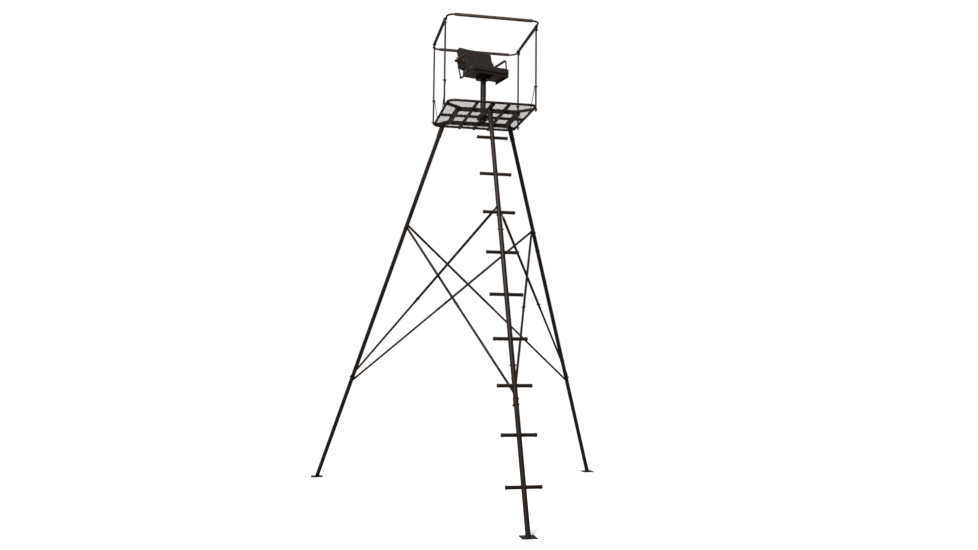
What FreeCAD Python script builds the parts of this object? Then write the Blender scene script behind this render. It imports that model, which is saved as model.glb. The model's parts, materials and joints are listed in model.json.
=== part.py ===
import FreeCAD, Part
import math
import os

from FreeCAD import Vector

# Tripod hunting stand. Millimetres, +Z up, +Y from the ladder leg towards the rear legs.
# The origin is on the ground, at the middle of the footprint.

# ---- driving dimensions -------------------------------------------------------------------

# Platform
PLATFORM_Y = 285.0          # platform centre, behind the middle of the footprint
PLATFORM_WIDTH = 914.0      # between the centrelines of the side tubes
PLATFORM_DEPTH = 1016.0     # between the centrelines of the front and rear tubes
RIM_Z = 3968.0
RIM_R = 12.5
RIM_BEND = 75.0
WALL = 1.5

# Legs: where each one stands and where its top end is
FOOT_Y = 1634.0
REAR_FOOT_X = 1631.0
LEG_TOP_Z = 3942.0
FRONT_HEAD_Y = -340.0       # from the platform centre
REAR_HEAD = (377.0, 328.0)  # from the platform centre
LEG_R = 22.25
LEG_WALL = 2.0
SPLICES = (1526.0, 2898.0)  # along each leg from its foot
SPIGOT = 130.0

# Foot plates
PLATE_SIDE = 130.0
PLATE_T = 6.0
STAKE_HOLE_R = 7.0
STAKE_HOLE_OUT = 48.0       # from the plate centre, each way
PLATE_CORNER = 8.0

# Ladder
RUNGS = 9
FIRST_RUNG = 399.0          # along the leg from its foot
RUNG_STEP = 437.0
RUNG_HALF = 156.0
RUNG_R = 16.0
CAP_R = 17.9
CAP_LENGTH = 20.0
CAP_END = 3.0

# Cross braces
NODES = {                   # upper and lower bolt of each face on each leg, along it from its foot
    ("left_face", "front"): (3070.0, 1160.0),
    ("right_face", "front"): (2994.0, 1102.0),
    ("left_face", "left"): (3046.0, 1248.0),
    ("rear_face", "left"): (3086.0, 1204.0),
    ("right_face", "right"): (3042.0, 1248.0),
    ("rear_face", "right"): (3082.0, 1204.0),
}
BRACE_UPPER_R = 12.7
BRACE_LOWER_R = 11.1
BRACE_WALL = 1.2
BRACE_LAP = 150.0
TANG_T = 4.0
TANG_END = 14.0
TANG_FLAT = 32.0
TANG_TAPER = 30.0
WASHER_GAP = 0.3            # clearance between bolted faces

# Bolts
BOLT_R = 4.0
BORE_R = 4.05
HEAD_R = 7.5
HEAD_H = 5.5
STUB = 5.0                  # thread past the nut

# Deck frame
RING_HALF = (320.0, 268.0)  # centrelines of the square ring under the deck
RING_TUBE = 38.0
BAR_TUBE = 25.0
BAR_WALL = 1.5
BEAM_TOP_Z = 3969.0
DEPTH_BARS = (-165.0, 165.0)
CENTRE_BAR = 40.0
CROSS_BAR_Y = 8.0
HUB_SIDE = 110.0
STRUT_RIM_END = (450.0, 405.0)
STRUT_RING_END = (215.0, 211.0)
MESH_T = 1.6
MESH_GAP = 0.6              # between the mesh and the rim
SLEEVE_R = 26.0
SLEEVE_LENGTH = 150.0

# Rail and its posts
POST_X = 480.0
POST_Y = 372.0
POST_R = 9.0
POST_BELOW_RIM = 24.0
POST_ABOVE_RAIL = 10.0
RAIL_Z = 4850.0
RAIL_R = 9.5
RAIL_BEND = 70.0
RAIL_REACH = 508.0          # long side of a bow, from the platform centre
BOW_X = 478.0
BOW_SETBACK = 22.0          # from the pivot to the start of a bow's round tube
SIDE_X = 482.0
EAR_T = 3.0
EAR_W = 24.0
EAR_PROUD = 0.8             # how far an ear stands out from its rail's side
EAR_LAP = 20.0              # length of an ear along its rail
LOWER_BOLT_DROP = 36.0
FOAM_R = 16.0
FOAM_GAP = 0.15
SIDE_FOAM_HALF = 327.0
BOW_FOAM_HALF = 404.0
BRACE_POST_Z = 4208.0
BRACE_RIM_Y = 192.0
STRAP = (16.0, 4.0)

# Seat
SEAT_TURN = 15.0            # degrees, the way the seat faces at rest
SEAT_POST_R = 30.0
SEAT_POST_TOP = 4360.0
SEAT_POST_FOOT = 3895.0
SPINDLE_R = 16.0
SPINDLE_LENGTH = 62.0
FIT = 0.05
TURNTABLE = 126.0
TURNTABLE_Z = 4364.0
PAN_Z = 4393.0
PAN_T = 3.0
PAN_HALF = 216.0
PAN_REAR = -90.0            # forward of the post is positive
PAN_FRONT = 172.0
FLANGE_H = 20.0
CUSHION_T = 66.0
CUSHION_FRONT = 190.0
HINGE_FORWARD = -108.0
HINGE_Z = 4388.0
BACK_LEAN = 22.0
BACK_BAR = (25.0, 4.0)
BACK_BAR_TOP = 262.0        # along the back from its hinge
BACK_PAD = (112.0, 396.0)
BACK_PAD_HALF = (209.0, 196.0)
BACK_PAD_FACE = (-14.0, 36.0)
ARM_ALONG = 224.0           # arm hinge, along the back
ARM_X = 235.0
ARM_R = 8.0
ARM_TIP = 68.0
ARM_FOOT = (92.0, 4408.0)
ARM_BEND = 26.0
ARM_FOAM_R = 13.4
HUB_R = 13.0
HUB_END = ARM_X + ARM_R + 2.0

X = Vector(1, 0, 0)
Y = Vector(0, 1, 0)
Z = Vector(0, 0, 1)
SIDES = (("left", -1), ("right", 1))


# ---- small helpers ------------------------------------------------------------------------

def deck(x, y, z):
    """A point given from the middle of the platform."""
    return Vector(x, PLATFORM_Y + y, z)


def box(x0, x1, y0, y1, z0, z1):
    return Part.makeBox(x1 - x0, y1 - y0, z1 - z0, Vector(x0, y0, z0))


def rod(start, end, radius):
    along = end - start
    return Part.makeCylinder(radius, along.Length, start, along)


def pipe(start, end, radius, wall):
    return rod(start, end, radius).cut(rod(start, end, radius - wall))


def fuse(shapes):
    return shapes[0].multiFuse(shapes[1:]).removeSplitter()


def spin(points):
    """Solid of revolution about Z from (radius, height) points."""
    outline = [Vector(r, 0, z) for r, z in points]
    face = Part.Face(Part.makePolygon(outline + outline[:1]))
    return face.revolve(Vector(0, 0, 0), Z, 360)


def place(shape, origin, z_axis, y_axis=None):
    """Move a shape built along +Z so that +Z follows z_axis, and +Y follows y_axis."""
    if y_axis is None:
        turn = FreeCAD.Rotation(Z, z_axis)
    else:
        turn = FreeCAD.Rotation(y_axis.cross(z_axis), y_axis, z_axis, "ZYX")
    shape.Placement = FreeCAD.Placement(origin, turn).multiply(shape.Placement)
    return shape


def drill(shape, centre, axis, reach, radius=BORE_R):
    """Cut a round hole through everything within reach of a point."""
    step = Vector(axis).normalize() * reach
    return shape.cut(rod(centre - step, centre + step, radius))


def bolt(centre, axis, grip, radius=BOLT_R, stub=STUB):
    """Hex bolt and nut clamping `grip` about a centre, its thread pointing along axis."""
    half = grip / 2
    hexagon = [Vector(HEAD_R * math.cos(math.radians(60 * k)), HEAD_R * math.sin(math.radians(60 * k)), 0)
               for k in range(6)]
    face = Part.Face(Part.makePolygon(hexagon + hexagon[:1]))
    head = face.extrude(Z * HEAD_H)
    head.translate(Z * (-half - HEAD_H))
    nut = face.extrude(Z * HEAD_H)
    nut.translate(Z * half)
    shank = Part.makeCylinder(radius, grip + HEAD_H + stub, Z * -half)
    return place(fuse([head, nut, shank]), centre, axis)


def bend_path(points, bend):
    """Straight runs through the points, joined by arcs of one radius."""
    edges = []
    start = points[0]
    for before, corner, after in zip(points, points[1:], points[2:]):
        come = (before - corner).normalize()
        go = (after - corner).normalize()
        half_turn = come.getAngle(go) / 2
        cut = bend / math.tan(half_turn)
        enter = corner + come * cut
        leave = corner + go * cut
        middle = corner + (come + go).normalize() * (bend / math.sin(half_turn) - bend)
        edges.append(Part.LineSegment(start, enter).toShape())
        edges.append(Part.Arc(enter, middle, leave).toShape())
        start = leave
    edges.append(Part.LineSegment(start, points[-1]).toShape())
    return Part.Wire(edges)


def sweep(path, radius):
    first = path.Edges[0]
    start = first.valueAt(first.FirstParameter)
    heading = first.tangentAt(first.FirstParameter)
    ring = Part.Wire([Part.Circle(start, heading, radius).toShape()])
    return path.makePipeShell([ring], True, False)


def rounded_plate(half_x, half_y, corner, thickness):
    plate = box(-half_x, half_x, -half_y, half_y, 0, thickness)
    uprights = [e for e in plate.Edges if abs(e.tangentAt(e.FirstParameter).z) > 0.9]
    return plate.makeFillet(corner, uprights)


def export(name, shapes):
    shape = shapes[0] if len(shapes) == 1 else Part.makeCompound(shapes)
    shape.exportStep("parts/" + name + ".step")
    print(name, len(shape.Solids), round(shape.Volume / 1000, 1), shape.isValid())


# ---- legs ---------------------------------------------------------------------------------

FEET = {
    "front": Vector(0, -FOOT_Y, 0),
    "left": Vector(-REAR_FOOT_X, FOOT_Y, 0),
    "right": Vector(REAR_FOOT_X, FOOT_Y, 0),
}
HEADS = {
    "front": deck(0, FRONT_HEAD_Y, LEG_TOP_Z),
    "left": deck(-REAR_HEAD[0], REAR_HEAD[1], LEG_TOP_Z),
    "right": deck(REAR_HEAD[0], REAR_HEAD[1], LEG_TOP_Z),
}


def leg_axis(leg):
    return (HEADS[leg] - FEET[leg]).normalize()


def leg_point(leg, along):
    return FEET[leg] + leg_axis(leg) * along


def leg_section(leg, start, end, spigot):
    """A length of leg tube, with a reduced end that plugs into the length below."""
    inner = LEG_R - LEG_WALL
    length = end - start
    if spigot:
        plug = inner - 0.2
        bore = plug - LEG_WALL
        outline = [(bore, -SPIGOT), (plug, -SPIGOT), (plug, 0), (LEG_R, 0), (LEG_R, length),
                   (inner, length), (inner, 15), (bore, 0)]
    else:
        outline = [(inner, 0), (LEG_R, 0), (LEG_R, length), (inner, length)]
    return place(spin(outline), leg_point(leg, start), leg_axis(leg))


def rung_points():
    return [leg_point("front", FIRST_RUNG + k * RUNG_STEP) for k in range(RUNGS)]


def splice_bolts(leg):
    """Centre and direction of the bolt through each splice of a leg."""
    along = X if leg == "front" else leg_axis(leg).cross(Z).normalize()
    return [(leg_point(leg, s - SPIGOT / 2), along) for s in SPLICES]


# ---- cross braces -------------------------------------------------------------------------

FACES = {
    "left_face": ("front", "left"),
    "right_face": ("front", "right"),
    "rear_face": ("left", "right"),
}


def face_normal(face):
    one, other = FACES[face]
    normal = (FEET[other] - FEET[one]).cross(HEADS[one] - FEET[one]).normalize()
    outward = (FEET[one] + FEET[other]) * 0.5
    return normal if normal.dot(outward) > 0 else normal * -1


def node_point(face, leg, level):
    upper, lower = NODES[face, leg]
    return leg_point(leg, upper if level == "upper" else lower)


def braces():
    """Every brace: its name, its two bolt points on the legs, and its side of the legs."""
    found = []
    for face, (one, other) in FACES.items():
        normal = face_normal(face)
        for name, top, bottom, side in (("a", one, other, 1), ("b", other, one, -1)):
            offset = normal * side * (LEG_R + TANG_T / 2 + WASHER_GAP)
            found.append((face + "_" + name, node_point(face, top, "upper") + offset,
                          node_point(face, bottom, "lower") + offset, normal * side))
    return found


def brace_piece(radius, length):
    """A tube along +Z whose first end is flattened about a bolt hole at the origin."""
    flat = TANG_T / 2
    profile = [(-TANG_END, -flat), (TANG_FLAT, -flat), (TANG_FLAT + TANG_TAPER, -radius), (length, -radius),
               (length, radius), (TANG_FLAT + TANG_TAPER, radius), (TANG_FLAT, flat), (-TANG_END, flat)]
    outline = [Vector(-radius, y, z) for z, y in profile]
    wedge = Part.Face(Part.makePolygon(outline + outline[:1])).extrude(X * 2 * radius)
    tube = Part.makeCylinder(radius, length + TANG_END, Vector(0, 0, -TANG_END))
    piece = tube.common(wedge)
    hollow_from = TANG_FLAT + TANG_TAPER + 2
    piece = piece.cut(Part.makeCylinder(radius - BRACE_WALL, length - hollow_from, Vector(0, 0, hollow_from)))
    return drill(piece, Vector(0, 0, 0), Y, 3 * radius)


def build_braces():
    bolts = []
    holes = []
    for name, top, bottom, side in braces():
        along = bottom - top
        down = Vector(along).normalize()
        middle = (top + bottom) * 0.5
        half = along.Length / 2 + BRACE_LAP / 2
        upper = place(brace_piece(BRACE_UPPER_R, half), top, down, side)
        lower = place(brace_piece(BRACE_LOWER_R, half), bottom, down * -1, side)
        export("brace_" + name + "_upper", [drill(upper, middle, side, 40)])
        export("brace_" + name + "_lower", [drill(lower, middle, side, 40)])
        bolts.append(bolt(middle, side, 2 * (BRACE_UPPER_R + WASHER_GAP)))
        for end in (top, bottom):
            centre = end - side * (LEG_R + WASHER_GAP + TANG_T / 2)
            grip_from = centre - side * (LEG_R + WASHER_GAP)
            grip_to = end + side * (TANG_T / 2 + WASHER_GAP)
            bolts.append(bolt((grip_from + grip_to) * 0.5, side, (grip_to - grip_from).Length))
            holes.append((centre, side))
    return bolts, holes


# ---- deck ---------------------------------------------------------------------------------

def rim_loop(radius):
    """The bent tube round the platform, as a solid bar of the given radius."""
    half_x = PLATFORM_WIDTH / 2
    half_y = PLATFORM_DEPTH / 2
    run_x = half_x - RIM_BEND
    run_y = half_y - RIM_BEND
    pieces = []
    for sx in (-1, 1):
        pieces.append(rod(deck(sx * half_x, -run_y, RIM_Z), deck(sx * half_x, run_y, RIM_Z), radius))
        pieces.append(rod(deck(-run_x, sx * half_y, RIM_Z), deck(run_x, sx * half_y, RIM_Z), radius))
    for turn, (sx, sy) in enumerate(((1, 1), (-1, 1), (-1, -1), (1, -1))):
        corner = Part.makeTorus(RIM_BEND, radius, Vector(0, 0, 0), Z, -180, 180, 90)
        corner.rotate(Vector(0, 0, 0), Z, 90 * turn)
        corner.translate(deck(sx * run_x, sy * run_y, RIM_Z))
        pieces.append(corner)
    return fuse(pieces)


def ring_beams():
    """Four mitred square tubes under the deck."""
    low = BEAM_TOP_Z - RING_TUBE
    half = RING_TUBE / 2

    def band(inset):
        outer = [side + half - inset for side in RING_HALF]
        inner = [side - half + inset for side in RING_HALF]
        block = box(-outer[0], outer[0], -outer[1], outer[1], low + inset, BEAM_TOP_Z - inset)
        return block.cut(box(-inner[0], inner[0], -inner[1], inner[1], low, BEAM_TOP_Z))

    ring = band(0).cut(band(2.0))
    corner = [side + half for side in RING_HALF]
    core = [RING_HALF[0] - RING_HALF[1], 0]
    wedges = [
        [(-corner[0], -corner[1]), (corner[0], -corner[1]), (core[0], 0), (-core[0], 0)],
        [(-corner[0], corner[1]), (corner[0], corner[1]), (core[0], 0), (-core[0], 0)],
        [(-corner[0], -corner[1]), (-corner[0], corner[1]), (-core[0], 0)],
        [(corner[0], -corner[1]), (corner[0], corner[1]), (core[0], 0)],
    ]
    beams = []
    for wedge in wedges:
        outline = [Vector(x, y, low) for x, y in wedge]
        prism = Part.Face(Part.makePolygon(outline + outline[:1])).extrude(Z * RING_TUBE)
        beam = ring.common(prism).Solids[0]
        beam.translate(deck(0, 0, 0))
        beams.append(beam)
    return beams


def square_bar(start, end, width):
    """A square tube lying just under the deck between two points given from its middle."""
    (x0, y0), (x1, y1) = start, end
    length = math.hypot(x1 - x0, y1 - y0)
    bar = box(0, length, -width / 2, width / 2, BEAM_TOP_Z - BAR_TUBE, BEAM_TOP_Z)
    inside = width / 2 - BAR_WALL
    bar = bar.cut(box(0, length, -inside, inside, BEAM_TOP_Z - BAR_TUBE + BAR_WALL, BEAM_TOP_Z - BAR_WALL))
    bar.rotate(Vector(0, 0, 0), Z, math.degrees(math.atan2(y1 - y0, x1 - x0)))
    bar.translate(deck(x0, y0, 0))
    return bar


def deck_ring_block():
    x, y = [side + RING_TUBE / 2 for side in RING_HALF]
    inner_x, inner_y = [side - RING_TUBE / 2 for side in RING_HALF]
    block = box(-x, x, -y, y, BEAM_TOP_Z - RING_TUBE, BEAM_TOP_Z)
    block = block.cut(box(-inner_x, inner_x, -inner_y, inner_y, BEAM_TOP_Z - RING_TUBE, BEAM_TOP_Z))
    block.translate(deck(0, 0, 0))
    return block


def hub_block():
    half = HUB_SIDE / 2
    hub = box(-half, half, -half, half, BEAM_TOP_Z - RING_TUBE, BEAM_TOP_Z)
    hub.translate(deck(0, 0, 0))
    return hub


def deck_bars(rim, ring, hub, sleeve):
    """Bars across and along the deck, in lengths between the rim, the ring and the hub."""
    edge_x = PLATFORM_WIDTH / 2 - RIM_R / 2
    edge_y = PLATFORM_DEPTH / 2 - RIM_R / 2
    across = square_bar((-edge_x, CROSS_BAR_Y), (edge_x, CROSS_BAR_Y), BAR_TUBE)
    across_block = box(-edge_x, edge_x, CROSS_BAR_Y - BAR_TUBE / 2, CROSS_BAR_Y + BAR_TUBE / 2,
                       BEAM_TOP_Z - BAR_TUBE, BEAM_TOP_Z).translated(deck(0, 0, 0))
    bars = across.cut(rim).cut(ring).cut(hub).Solids
    lengthways = [square_bar((x, -edge_y), (x, edge_y), BAR_TUBE) for x in DEPTH_BARS]
    lengthways.append(square_bar((0, -edge_y), (0, -RING_HALF[1]), CENTRE_BAR))
    lengthways.append(square_bar((0, -RING_HALF[1]), (0, edge_y), BAR_TUBE))
    for bar in lengthways:
        bars += bar.cut(rim).cut(ring).cut(hub).cut(across_block).cut(sleeve).Solids
    return [bar for bar in bars if bar.Volume > 500]


def deck_struts(rim, ring, sleeves):
    """Four diagonals from the corners of the rim to the ring."""
    struts = []
    for sx in (-1, 1):
        for sy in (-1, 1):
            outer = (sx * STRUT_RIM_END[0], sy * STRUT_RIM_END[1])
            inner = (sx * STRUT_RING_END[0], sy * STRUT_RING_END[1])
            bar = square_bar(outer, inner, BAR_TUBE).cut(rim).cut(ring)
            pieces = bar.cut(sleeves[0]).cut(sleeves[1]).Solids
            struts.append(max(pieces, key=lambda s: abs(s.CenterOfMass.y - PLATFORM_Y)))
    return struts


def sleeve_block(leg, ring):
    """The socket for a leg's top end and its arm from the deck ring, before boring."""
    top = HEADS[leg]
    down = leg_axis(leg) * -1
    outer = rod(top - down * 8, top + down * SLEEVE_LENGTH, SLEEVE_R)
    ring_end = deck(0, -RING_HALF[1], 0)
    if leg != "front":
        side = -1 if leg == "left" else 1
        ring_end = deck(side * RING_HALF[0], RING_HALF[1], 0)
    reach = Vector(top.x, top.y, 0) - ring_end
    arm = box(0, reach.Length, -RING_TUBE / 2, RING_TUBE / 2, BEAM_TOP_Z - RING_TUBE, BEAM_TOP_Z)
    arm.rotate(Vector(0, 0, 0), Z, math.degrees(math.atan2(reach.y, reach.x)))
    arm.translate(ring_end)
    above = box(-PLATFORM_WIDTH, PLATFORM_WIDTH, -PLATFORM_DEPTH, PLATFORM_DEPTH, BEAM_TOP_Z, BEAM_TOP_Z + SLEEVE_R)
    return fuse([outer.cut(above), arm]).cut(ring)


def leg_sleeve(leg, block):
    down = leg_axis(leg) * -1
    return block.cut(rod(HEADS[leg] - down * 2, HEADS[leg] + down * (SLEEVE_LENGTH + 1), LEG_R + 0.25))


# ---- rail ---------------------------------------------------------------------------------

def corner_bolts():
    """Centre, direction and grip of the two bolts at each post top."""
    found = []
    inner = BOW_X - RAIL_R - EAR_PROUD - WASHER_GAP
    outer = SIDE_X + RAIL_R + EAR_PROUD + WASHER_GAP
    for sx in (-1, 1):
        for sy in (-1, 1):
            upper = deck(sx * (inner + outer) / 2, sy * POST_Y, RAIL_Z)
            found.append((upper, X * sx, outer - inner))
            low_from = POST_X - POST_R - WASHER_GAP
            lower = deck(sx * (low_from + outer) / 2, sy * POST_Y, RAIL_Z - LOWER_BOLT_DROP)
            found.append((lower, X * sx, outer - low_from))
    return found


def rail_post(sx, sy):
    low = deck(sx * POST_X, sy * POST_Y, RIM_Z - POST_BELOW_RIM)
    high = deck(sx * POST_X, sy * POST_Y, RAIL_Z + POST_ABOVE_RAIL)
    post = pipe(low, high, POST_R, WALL)
    for z in (RAIL_Z, RAIL_Z - LOWER_BOLT_DROP, BRACE_POST_Z, RIM_Z):
        post = drill(post, deck(sx * POST_X, sy * POST_Y, z), X, 30)
    return post


def bow(sy):
    """Front or rear rail: a bent tube whose flattened ends bolt inside the posts."""
    reach = sy * RAIL_REACH
    near = sy * (POST_Y + BOW_SETBACK)
    points = [deck(-BOW_X, near, RAIL_Z), deck(-BOW_X, reach, RAIL_Z), deck(BOW_X, reach, RAIL_Z),
              deck(BOW_X, near, RAIL_Z)]
    tube = sweep(bend_path(points, RAIL_BEND), RAIL_R)
    bore = sweep(bend_path(points, RAIL_BEND), RAIL_R - WALL)
    pieces = [tube.cut(bore)]
    for sx in (-1, 1):
        ends = sorted((sy * (POST_Y - EAR_W / 2 + 1), sy * (POST_Y + BOW_SETBACK + EAR_LAP)))
        faces = sorted((sx * (BOW_X - RAIL_R - EAR_PROUD), sx * (BOW_X - RAIL_R - EAR_PROUD + EAR_T)))
        tang = box(faces[0], faces[1], ends[0], ends[1], RAIL_Z - 9, RAIL_Z + 9)
        pieces.append(tang.translated(deck(0, 0, 0)))
    whole = fuse(pieces)
    for sx in (-1, 1):
        whole = drill(whole, deck(sx * BOW_X, sy * POST_Y, RAIL_Z), X, 20)
    return whole


def side_rail(sx):
    """Straight rail between a front and a rear post, with an ear outside each post."""
    near = POST_Y - POST_R - 3
    pieces = [pipe(deck(sx * SIDE_X, -near, RAIL_Z), deck(sx * SIDE_X, near, RAIL_Z), RAIL_R, WALL)]
    for sy in (-1, 1):
        ends = sorted((sy * (POST_Y + EAR_W / 2), sy * (near - EAR_LAP)))
        faces = sorted((sx * (SIDE_X + RAIL_R + EAR_PROUD), sx * (SIDE_X + RAIL_R + EAR_PROUD - EAR_T)))
        ear = box(faces[0], faces[1], ends[0], ends[1], RAIL_Z - LOWER_BOLT_DROP - 11, RAIL_Z + 9)
        pieces.append(ear.translated(deck(0, 0, 0)))
    whole = fuse(pieces)
    for sy in (-1, 1):
        for z in (RAIL_Z, RAIL_Z - LOWER_BOLT_DROP):
            whole = drill(whole, deck(sx * SIDE_X, sy * POST_Y, z), X, 40)
    return whole


def foam(start, end, radius=FOAM_R, tube=RAIL_R):
    return rod(start, end, radius).cut(rod(start, end, tube + FOAM_GAP))


def post_brace(sx, sy):
    """Flat strap from a post down to the side tube of the rim, with its bolt ends twisted flat."""
    width, thick = STRAP
    inside = sx * (POST_X - POST_R - WASHER_GAP - thick / 2)
    top = Vector(inside, sy * POST_Y, BRACE_POST_Z)
    bottom = Vector(inside, sy * BRACE_RIM_Y, RIM_Z + RIM_R + 14)
    along = (bottom - top).normalize()
    strap = box(-width / 2, width / 2, -thick / 2, thick / 2, -width / 2, (bottom - top).Length + 14)
    strap = place(strap, top, along, X)
    foot = sorted((sx * (POST_X - POST_R - WASHER_GAP), sx * (PLATFORM_WIDTH / 2 - 12)))
    tab = box(foot[0], foot[1], bottom.y - 12, bottom.y + 12, RIM_Z + RIM_R - 2, RIM_Z + RIM_R + 3)
    strap = fuse([strap, tab])
    strap.translate(deck(0, 0, 0))
    strap = strap.cut(rod(deck(sx * PLATFORM_WIDTH / 2, -450, RIM_Z), deck(sx * PLATFORM_WIDTH / 2, 450, RIM_Z),
                          RIM_R))
    return drill(strap, deck(inside, sy * POST_Y, BRACE_POST_Z), X, 20)


def post_bolts():
    """Bolts of a post: at its foot through the rim, and at its strap."""
    found = []
    for sx in (-1, 1):
        for sy in (-1, 1):
            rim_from = PLATFORM_WIDTH / 2 - RIM_R - WASHER_GAP
            post_to = POST_X + POST_R + WASHER_GAP
            found.append((deck(sx * (rim_from + post_to) / 2, sy * POST_Y, RIM_Z), X * sx, post_to - rim_from))
            strap_from = POST_X - POST_R - 2 * WASHER_GAP - STRAP[1]
            found.append((deck(sx * (strap_from + post_to) / 2, sy * POST_Y, BRACE_POST_Z), X * sx,
                          post_to - strap_from))
    return found


# ---- seat ---------------------------------------------------------------------------------
# Seat shapes are built facing -Y about the post axis, then turned to the rest position.

def seat_to_stand(shape):
    shape.rotate(Vector(0, 0, 0), Z, SEAT_TURN)
    shape.translate(deck(0, 0, 0))
    return shape


def seat_post():
    inner = SEAT_POST_R - 3
    bore = SPINDLE_R + FIT
    outline = [(inner, SEAT_POST_FOOT), (SEAT_POST_R, SEAT_POST_FOOT), (SEAT_POST_R, SEAT_POST_TOP),
               (bore, SEAT_POST_TOP), (bore, SEAT_POST_TOP - 50), (inner, SEAT_POST_TOP - 50)]
    post = spin(outline)
    post.translate(deck(0, 0, 0))
    return post


def turntable():
    half = TURNTABLE / 2
    plate = rounded_plate(half, half, 10, 6)
    plate.translate(Z * TURNTABLE_Z)
    spindle = Part.makeCylinder(SPINDLE_R, SPINDLE_LENGTH + 2, Z * (TURNTABLE_Z - SPINDLE_LENGTH))
    return fuse([plate, spindle])


def seat_pan():
    """Steel tray on two channels, with side flanges that carry the back's hinge."""
    edge = PAN_HALF - 1
    tray = box(-edge, edge, -PAN_FRONT, -PAN_REAR, PAN_Z, PAN_Z + PAN_T)
    pieces = [tray]
    for sx in (-1, 1):
        faces = sorted((sx * edge, sx * (edge - PAN_T)))
        pieces.append(box(faces[0], faces[1], -PAN_FRONT, -HINGE_FORWARD + 14, PAN_Z - FLANGE_H, PAN_Z + 2))
        pieces.append(box(sx * 42 - 12, sx * 42 + 12, -120, 75, TURNTABLE_Z + 6, PAN_Z + 1))
    pieces.append(box(-edge, edge, -PAN_FRONT, -PAN_FRONT + PAN_T, PAN_Z - FLANGE_H, PAN_Z + 2))
    pan = fuse(pieces)
    return drill(pan, Vector(0, -HINGE_FORWARD, HINGE_Z), X, 300)


def cushion():
    pad = box(-PAN_HALF, PAN_HALF, -CUSHION_FRONT, -PAN_REAR - 4, PAN_Z + PAN_T + 0.5, PAN_Z + PAN_T + CUSHION_T)
    return pad.makeFillet(14, pad.Edges)


def lean(shape):
    """From the back's own frame (Z along the back, -Y forward, origin at the hinge) to the seat's."""
    shape.rotate(Vector(0, 0, 0), X, -BACK_LEAN)
    shape.translate(Vector(0, -HINGE_FORWARD, HINGE_Z))
    return shape


def arm_hinge():
    """The arm pivot as (forward, height) in the seat's frame."""
    angle = math.radians(BACK_LEAN)
    return (HINGE_FORWARD - ARM_ALONG * math.sin(angle), HINGE_Z + ARM_ALONG * math.cos(angle))


def back_frame():
    """Two flat side bars joined by straps behind the pad."""
    width, thick = BACK_BAR
    inner = PAN_HALF + 0.5
    straps_y = (-BACK_PAD_FACE[0] + 0.8, -BACK_PAD_FACE[0] + 0.8 + thick)
    pieces = []
    for sx in (-1, 1):
        faces = sorted((sx * inner, sx * (inner + thick)))
        pieces.append(box(faces[0], faces[1], -width / 2, width / 2, 0, BACK_BAR_TOP))
        pieces.append(Part.makeCylinder(width / 2, thick, Vector(faces[0], 0, 0), X))
        pieces.append(Part.makeCylinder(width / 2, thick, Vector(faces[0], 0, BACK_BAR_TOP), X))
        for low in (BACK_PAD[0] + 20, BACK_BAR_TOP - 40):
            pieces.append(box(faces[0], faces[1], 0, straps_y[1], low, low + 30))
    for low in (BACK_PAD[0] + 20, BACK_BAR_TOP - 40):
        pieces.append(box(-inner - 1, inner + 1, straps_y[0], straps_y[1], low, low + 30))
    frame = fuse(pieces)
    frame = drill(frame, Vector(0, 0, 0), X, 300)
    frame = drill(frame, Vector(0, 0, ARM_ALONG), X, 300)
    return lean(frame)


def back_pad():
    """Tapered pad with rounded top corners, in front of the straps."""
    low, high = BACK_PAD
    wide, narrow = BACK_PAD_HALF
    outline = [Vector(-wide, 0, low), Vector(wide, 0, low), Vector(narrow, 0, high), Vector(-narrow, 0, high)]
    pad = Part.Face(Part.makePolygon(outline + outline[:1])).extrude(Y * (BACK_PAD_FACE[1] - BACK_PAD_FACE[0]))
    pad.translate(Y * -BACK_PAD_FACE[1])
    corners = [e for e in pad.Edges if abs(e.tangentAt(e.FirstParameter).y) > 0.9 and e.CenterOfMass.z > low + 1]
    pad = pad.makeFillet(45, corners)
    return lean(pad.makeFillet(10, pad.Edges))


def arm(sx):
    """Armrest tube with a hub on the back's side bar; its front end drops beside the seat."""
    forward, height = arm_hinge()
    ahead = [Vector(sx * ARM_X, -ARM_TIP, height), Vector(sx * ARM_X, -ARM_FOOT[0], ARM_FOOT[1])]
    tube = sweep(bend_path([Vector(sx * ARM_X, -forward - 6, height)] + ahead, ARM_BEND), ARM_R)
    bore = sweep(bend_path([Vector(sx * ARM_X, -forward - HUB_R - 3, height)] + ahead, ARM_BEND), ARM_R - WALL)
    inner = PAN_HALF + 0.5 + BACK_BAR[1] + 0.4
    hub = Part.makeCylinder(HUB_R, HUB_END - inner, Vector(sx * inner, -forward, height), X * sx)
    return drill(fuse([tube, hub]).cut(bore), Vector(sx * ARM_X, -forward, height), X, 60)


def arm_foam(sx):
    forward, height = arm_hinge()
    start = Vector(sx * ARM_X, -forward - HUB_R - 6, height)
    end = Vector(sx * ARM_X, -ARM_TIP + ARM_BEND, height)
    return foam(start, end, ARM_FOAM_R, ARM_R)


def seat_bolts():
    """Hinge bolts of the back, fixed in the pan."""
    found = []
    for sx in (-1, 1):
        start = PAN_HALF - 1 - PAN_T - 0.3
        end = PAN_HALF + 0.5 + BACK_BAR[1] + 0.4
        centre = Vector(sx * (start + end) / 2, -HINGE_FORWARD, HINGE_Z)
        found.append(bolt(centre, X * sx, end - start, stub=HEAD_H + 1))
    return found


def arm_bolts():
    """Hinge bolts of the armrests, fixed in the back's side bars."""
    forward, height = arm_hinge()
    found = []
    for sx in (-1, 1):
        start = PAN_HALF + 0.2
        end = HUB_END + 0.4
        centre = Vector(sx * (start + end) / 2, -forward, height)
        found.append(bolt(centre, X * sx, end - start, stub=HEAD_H + 1))
    return found


# ---- build --------------------------------------------------------------------------------

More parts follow.
